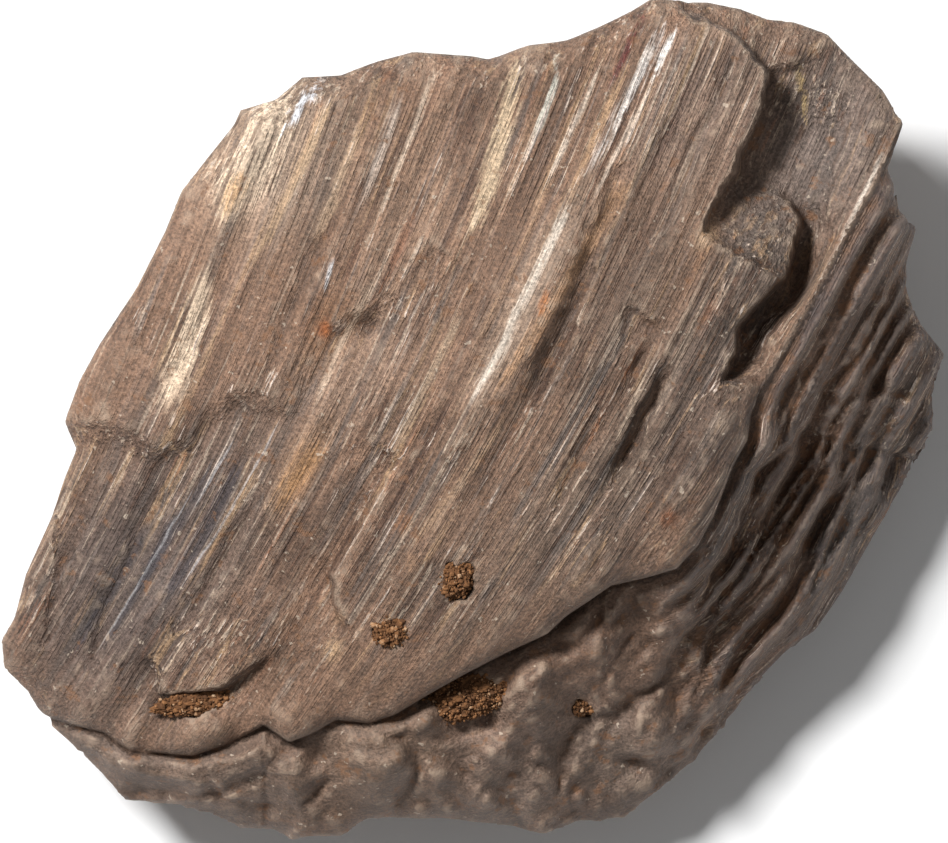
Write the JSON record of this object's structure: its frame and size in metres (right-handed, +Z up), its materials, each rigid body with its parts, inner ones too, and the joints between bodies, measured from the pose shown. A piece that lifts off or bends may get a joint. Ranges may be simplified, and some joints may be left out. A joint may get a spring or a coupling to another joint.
{
  "type": "rough petrified wood",
  "caption": "Rough hand specimen of petrified wood: split grained face above, layered flank, worn front with lips and knobs, soil lodged in its pits.",
  "frame": {"origin": "middle of the bounding box on the surface that the stone lies on", "axes": "+Z up out of the split grained face, +X to the right of the picture along the longest side, +Y to the top of the picture"},
  "size_m": [0.0937, 0.0835, 0.0373],
  "materials": {
    "petrified_wood": "silicified wood, matt to faintly waxy, brown with cream, grey-blue and rust streaks along the grain",
    "soil": "dry crumbly brown soil"
  },
  "bodies": {
    "root": {"petrified_wood": "petrified_wood", "soil_plug_upper": "soil", "soil_plug_lower": "soil", "soil_in_front_crevice": "soil", "soil_plug_small": "soil", "soil_in_left_crevice": "soil"}
  },
  "joints": []
}
